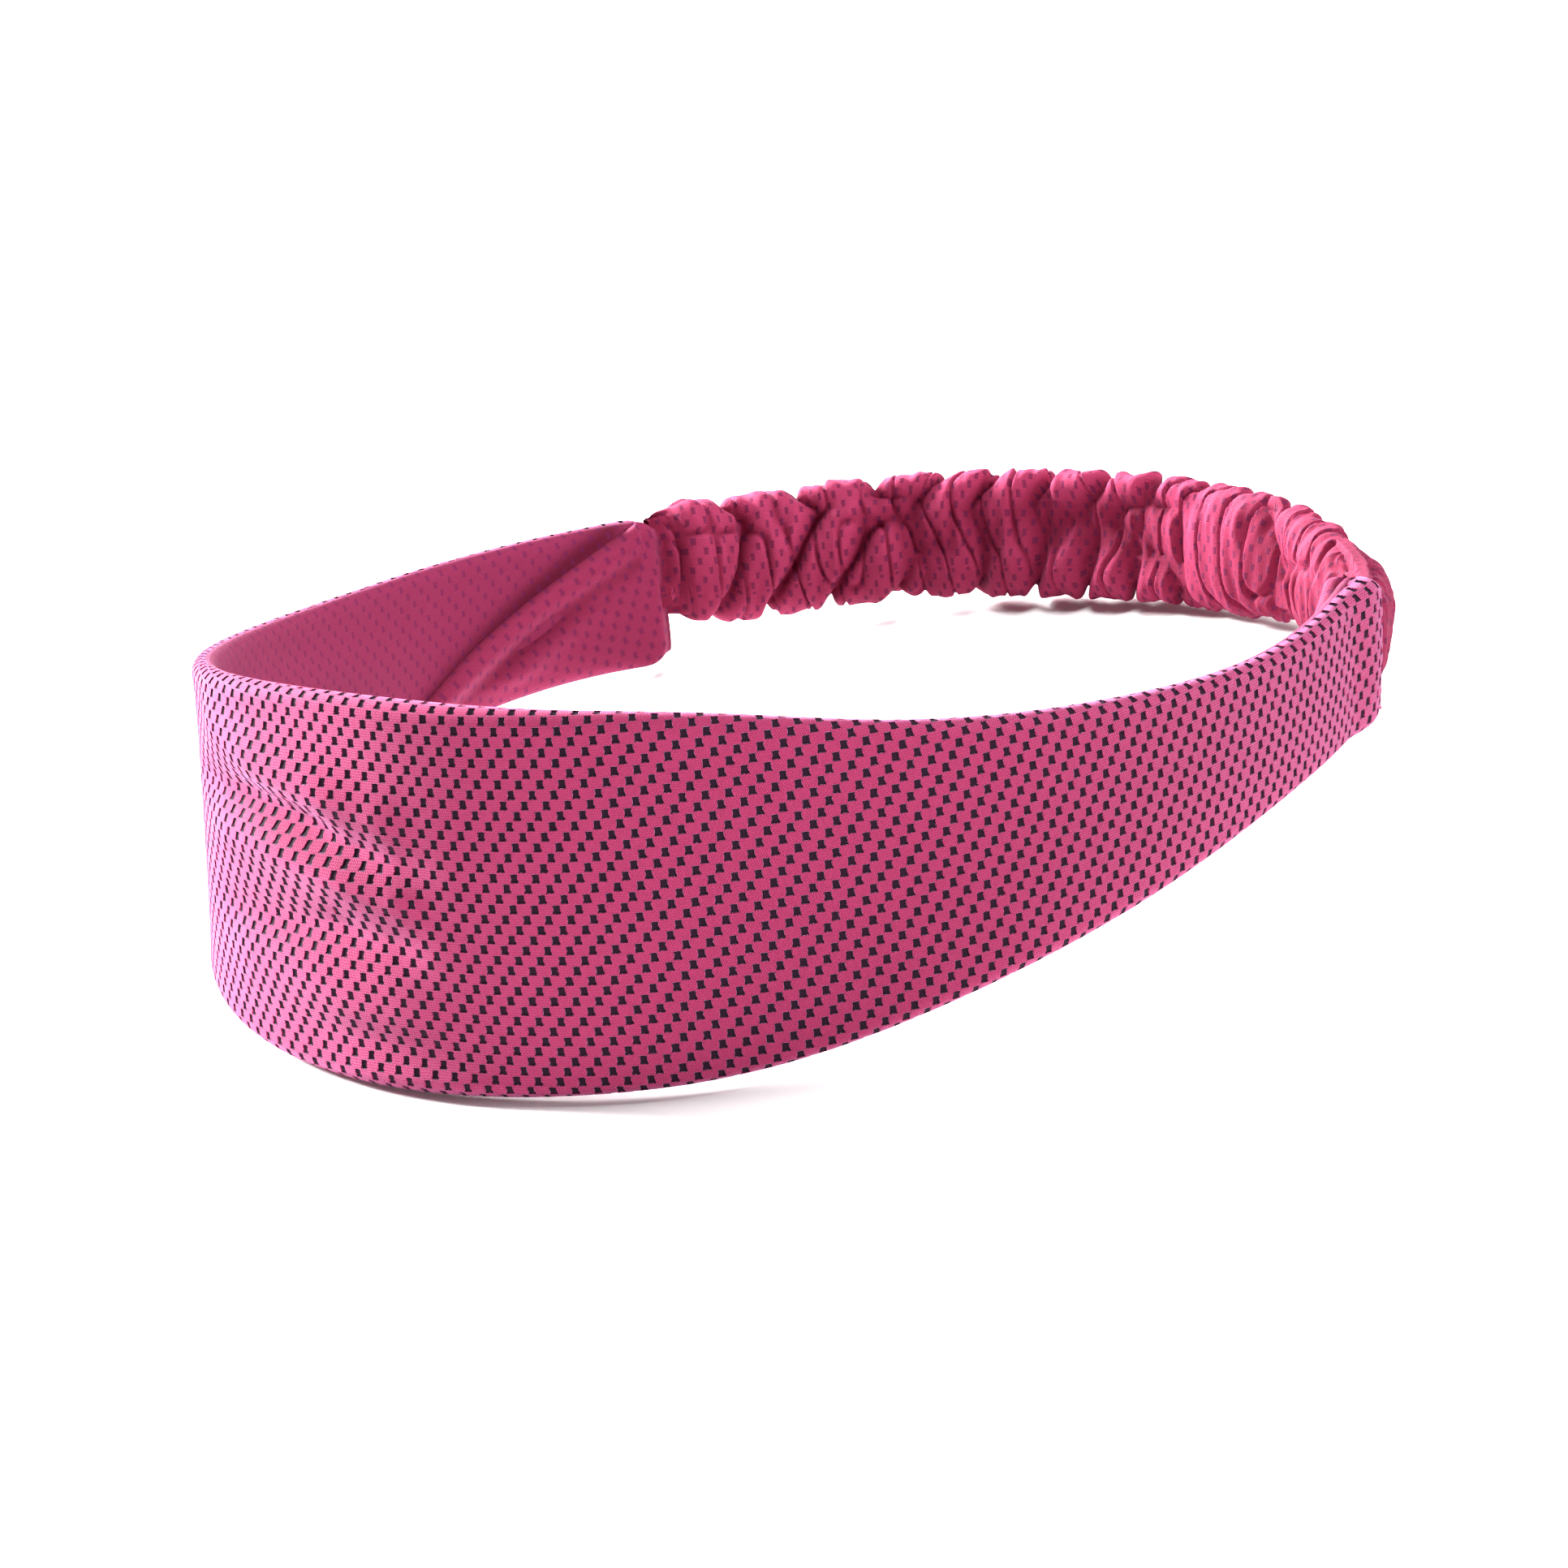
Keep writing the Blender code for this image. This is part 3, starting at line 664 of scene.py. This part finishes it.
def casing_cloth():
    """The gathered tube: a strip folded round the elastic, both long edges turned in at the seam on its inner side.

    u runs along it from the right end in millimetres, and `angle` round it from the outer side.
    """
    rows, columns = 620, 104
    length = (S_REAR_END - S_END) / MM
    u = np.linspace(-1.2, length + 1.2, rows)[:, None]
    seam_angle = math.radians(180 + 24)
    angle = seam_angle + 2 * math.pi * np.linspace(0, 1, columns)[None, :]
    c, k = np.cos(angle), np.sin(angle)
    rolls, groove, crease = gathers(u, angle)
    near = np.minimum(u, length - u)
    free = ease(near / 5.0)
    relief = (rolls - np.percentile(rolls, 60)) * (0.35 + 0.65 * free)
    relief = np.clip(relief, -3.0, 1.6) * (0.72 + 0.28 * c**2)
    # the plain section: half its thickness and half its height
    opened = ease(near / 4.0)
    thick = 0.9 + 3.3 * opened - 1.3 * (c > 0) * opened * hump(u, 0, 16)
    tall = 7.5 + 1.1 * free - 1.0 * hump(u, 0, 26) - 1.5 * (k > 0) * hump(u, 20, 24)
    squareness = 0.78
    n = np.sign(c) * np.abs(c) ** squareness * thick
    t = np.sign(k) * np.abs(k) ** squareness * tall
    normal = unit(np.stack(np.broadcast_arrays(c / thick, k / tall), -1))
    n, t = n + normal[..., 0] * relief, t + normal[..., 1] * relief
    t = np.maximum(t, -9.2 + 0.1 * np.sin(u))  # it stays off the table
    # it stays outside the elastic, and outside the seam on the inner side
    by_seam = (c < 0) & (np.abs(t + 3.9) < 1.9)
    room_n, room_t = np.where(by_seam, 1.95, 0.95), 6.9
    within = (np.abs(n) < room_n) & (np.abs(t) < room_t)
    over_edge = np.abs(k) > 0.93
    n = np.where(within & ~over_edge, np.copysign(room_n, c), n)
    t = np.where(within & over_edge, np.copysign(room_t, k), t)
    n = n + 0.35 * (1 - ease((near - 0.5) / 3.0))
    turn = turn_at(S_END + (u + 0.22 * relief * np.sin(u / 6)) * MM)
    points = place(turn, n * MM, CASING_MIDDLE + 0.5 * MM + casing_rise(turn) + t * MM)
    # laid flat, the cloth is as long and as broad as its mean paths along and across the wrinkles
    move = np.linalg.norm(np.diff(points, axis=0), axis=-1).mean(1)
    run = np.concatenate([[0.0], np.cumsum(move)])[:, None]
    move = np.linalg.norm(np.diff(points, axis=1), axis=-1).mean(0)
    across = np.concatenate([[0.0], np.cumsum(move)])[None, :]
    uv = np.stack(np.broadcast_arrays(run, across), -1)
    obj = grid_piece("casing_cloth", points, uv, CASING_MESH, flip=True)
    # Painted shade: darker in the grooves, creases and low places of the relief, and by both ends; more again towards
    # the right end and low on the inner side.
    dark = np.maximum(0.95 * groove, 0.6 * crease)
    dark = np.maximum(dark, 0.9 * ease(0.2 - relief / 3.2))
    dark = np.maximum(dark, 0.95 * (1 - ease(near / 3.2)))
    end_and_inner_painted_shade = 0.66 * (1 - ease((u - 40) / 40)) + 0.4 * ease((4.0 - t) / 9.0) * (c < 0)
    put_painted_shade(obj, dark + (1 - dark) * end_and_inner_painted_shade)
    return obj, float(run[-1, 0]), float(across[0, -1])


# ---------------------------------------------------------------- elastic, seam and thread


def close_ends(obj):
    b = bmesh.new()
    b.from_mesh(obj.data)
    open_edges = [e for e in b.edges if e.is_boundary]
    bmesh.ops.holes_fill(b, edges=open_edges, sides=0)
    b.to_mesh(obj.data)
    b.free()
    obj.data.shade_smooth()


def strip(name, turns, n, low, high, thick, material, rise=0.0):
    """A flat band n outwards and between two heights, with real thickness and softened edges."""
    turn = turns[:, None]
    half = (high - low) / 2
    sides, squareness = 20, 0.5
    ring = []
    for k in range(sides):
        a = 2 * math.pi * k / sides
        c, s = math.cos(a), math.sin(a)
        out = n + math.copysign(abs(c) ** squareness, c) * thick / 2
        ring.append((out, (low + high) / 2 + math.copysign(abs(s) ** squareness, s) * half))
    ring = np.array(ring)
    points = place(turn, ring[None, :, 0], ring[None, :, 1] + rise)
    around = np.linspace(0, 2 * (high - low + thick), sides + 1)[None, :]
    uv = np.stack(np.broadcast_arrays(arc_at(turn), around), -1)
    obj = grid_piece(name, points, uv, material, closed=True, flip=True)
    close_ends(obj)
    return obj


def stitching(name, seam_line, out, stitch, dip, radius=0.13 * MM):
    """A two-ply thread that comes up and goes down through the cloth at each stitch."""
    step = np.linalg.norm(np.diff(seam_line, axis=0), axis=1)
    run = np.concatenate([[0.0], np.cumsum(step)])
    count = max(int(run[-1] / (0.25 * MM)), 24)
    at = np.linspace(0, run[-1], count)
    line = np.stack([np.interp(at, run, seam_line[:, k]) for k in range(3)], -1)
    outs = unit(np.stack([np.interp(at, run, out[:, k]) for k in range(3)], -1))
    wave = np.cos(2 * math.pi * at / stitch)
    line = line + outs * (dip * (np.clip(wave * 1.6, -1, 1) * 0.5 - 0.5))[:, None]
    along = unit(np.gradient(line, axis=0))
    side = unit(np.cross(along, outs))
    top = np.cross(side, along)
    sides, lay = 8, 0.9 * MM
    a = 2 * math.pi * np.arange(sides) / sides
    points, faces, uvs = [], [], []
    for ply in range(2):
        twist = 2 * math.pi * at / lay + math.pi * ply
        centre = line + (side * np.cos(twist)[:, None] + top * np.sin(twist)[:, None]) * radius * 0.55
        spokes = side[:, None, :] * np.cos(a)[:, None] + top[:, None, :] * np.sin(a)[:, None]
        points.append((centre[:, None, :] + spokes * radius * 0.75).reshape(-1, 3))
        index = ply * count * sides + np.arange(count * sides).reshape(count, sides)
        after = np.roll(index, -1, axis=1)
        quads = np.stack([index[:-1], after[:-1], after[1:], index[1:]], -1).reshape(-1, 4)
        faces += quads.tolist()
        faces += [tuple(index[0][::-1].tolist()), tuple(index[-1].tolist())]
        uvs.append(np.stack(np.broadcast_arrays(at[:, None], a[None, :] * radius), -1).reshape(-1, 2))
    return make_mesh(name, np.concatenate(points), faces, np.concatenate(uvs), THREAD)


# ---------------------------------------------------------------- the stage


def add_camera():
    """The camera, at the angle the band was seen from, with a long lens and a little rolled."""
    data = bpy.data.cameras.new("camera")
    data.lens, data.sensor_width = 207.1, 36.0
    data.clip_end = 20.0
    camera = bpy.data.objects.new("camera", data)
    bpy.context.scene.collection.objects.link(camera)
    right = Vector((0.7863103, 0.5950658, -0.1661709))
    up = Vector((-0.0907665, 0.3773012, 0.9216319))
    forward = Vector((-0.6111281, 0.7096059, -0.3506878)) - 0.0009728 * right - 0.0080121 * up
    forward.normalize()
    right = forward.cross(up).normalized()
    up = right.cross(forward)
    turned = Matrix((right, up, -forward)).transposed().to_4x4()
    camera.matrix_world = Matrix.Translation((0.733354, -0.851527, 0.437509)) @ turned
    bpy.context.scene.camera = camera


def add_floor():
    mesh = bpy.data.meshes.new("floor")
    mesh.from_pydata([(-4, -4, 0), (4, -4, 0), (4, 4, 0), (-4, 4, 0)], [], [(0, 1, 2, 3)])
    mesh.materials.append(plain_floor())
    floor = bpy.data.objects.new("floor", mesh)
    floor.location.z = -0.0004
    bpy.context.scene.collection.objects.link(floor)


# name, direction it stands in, distance, size and power
LIGHTS = (
    ("key", (-1.0, -0.1, 0.42), 1.3, 0.3, 100.0),
    ("key_behind", (-1.0, 0.5, 0.45), 1.3, 0.5, 60.0),
    ("top", (0.0, 0.2, 1.0), 1.5, 0.8, 34.0),
    ("right", (1.0, 0.08, 0.18), 1.5, 0.5, 17.0),
    ("front", (0.8, -1.0, 0.12), 1.5, 0.4, 1.6),
)


def add_lights():
    aim = Vector((0, 0, 0.02))
    for name, towards, distance, size, power in LIGHTS:
        data = bpy.data.lights.new(name, "AREA")
        data.shape, data.size, data.energy = "DISK", size, power
        lamp = bpy.data.objects.new(name, data)
        direction = Vector(towards).normalized()
        lamp.location = aim + direction * distance
        lamp.rotation_euler = (-direction).to_track_quat("-Z", "Y").to_euler()
        bpy.context.scene.collection.objects.link(lamp)
    world = bpy.data.worlds.new("studio")
    world.use_nodes = True
    background = world.node_tree.nodes["Background"].inputs
    background["Color"].default_value = (1.0, 1.0, 1.0, 1.0)
    background["Strength"].default_value = 0.045
    bpy.context.scene.world = world
    bpy.context.scene.view_settings.view_transform = "Standard"


# ---------------------------------------------------------------- build

add_camera()
add_floor()
add_lights()

face = face_cloth()
lining = lining_cloth()
right_flap, left_flap = flap_cloth("right_flap_cloth", 1), flap_cloth("left_flap_cloth", -1)
casing, casing_run, casing_round = casing_cloth()

# The elastic and the casing's own seam run the whole way through the casing, and stop just short of its ends.
low, high = CASING_MIDDLE - ELASTIC_TALL / 2, CASING_MIDDLE + ELASTIC_TALL / 2
turns = np.linspace(PANEL_END + 0.005, 2 * math.pi - PANEL_END - 0.005, 120)
rise = casing_rise(turns)[:, None]
elastic = strip("elastic_band", turns, 0.0, low, high, ELASTIC_THICK, ELASTIC, rise)
low, high = CASING_MIDDLE - 4.6 * MM, CASING_MIDDLE - 2.2 * MM
turns = np.linspace(PANEL_END + 0.008, 2 * math.pi - PANEL_END - 0.008, 120)
rise = casing_rise(turns)[:, None]
seam = strip("casing_seam_allowance", turns, -1.3 * MM, low, high, 0.7 * MM, CASING_MESH, rise)

# The elastic's sewn-in ends, between the face and the lining.
tails = {}
low, high = 4.25 * MM, 16.75 * MM
for side, word in ((1, "right"), (-1, "left")):
    ends = sorted((side * (PANEL_END - math.radians(3.9)), side * (PANEL_END - 0.026)))
    turns = np.linspace(*ends, 12)
    tails[word] = strip(f"{word}_elastic_tail_webbing", turns, 1.2 * MM, low, high, ELASTIC_THICK, ELASTIC)

# Thread in the rolled edges, and on both sides of each end seam.
threads = []
turns = np.linspace(-PANEL_END + 0.02, PANEL_END - 0.02, 500)
_, out, _ = axes(turns)
in_edge = 1.64 * MM
for word, t in (("top", height(turns) - in_edge), ("bottom", np.full(500, in_edge))):
    seam_line = place(turns, ROLL_N, t)
    threads.append(stitching(f"{word}_edge_stitching", seam_line, out, 2.5 * MM, 0.25 * MM))
for side, word in ((1, "right"), (-1, "left")):
    turns = np.full(60, float(turn_at(S_END - 2.6 * MM)) * side)
    t = np.linspace(1.95 * MM, 19.0 * MM, 60)
    _, out, _ = axes(turns)
    for layer, n, sign in (("outer", 3.45 * MM, 1), ("inner", -2.0 * MM, -1)):
        name, seam_line = f"{word}_end_{layer}_stitching", place(turns, n, t)
        threads.append(stitching(name, seam_line, out * sign, 2.6 * MM, 0.55 * MM, 0.11 * MM))

# ---------------------------------------------------------------- what each piece is

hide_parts("face_panel")
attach(face, "front")

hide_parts("lining_panel")
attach(lining, "front")

for word, flap in (("right", right_flap), ("left", left_flap)):
    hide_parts(f"{word}_turned_in_flap")
    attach(flap, "front")

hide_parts("left_casing", "rear_casing", "right_casing")
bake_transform(casing)

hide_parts("left_elastic", "rear_elastic", "right_elastic")
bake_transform(elastic)
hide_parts("left_casing_seam", "rear_casing_seam", "right_casing_seam")
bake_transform(seam)
for word, tail in tails.items():
    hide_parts(f"{word}_elastic_tail")
    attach(tail, "front")
for piece in threads:
    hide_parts(piece.name.replace("stitching", "thread"))
    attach(piece, "front")
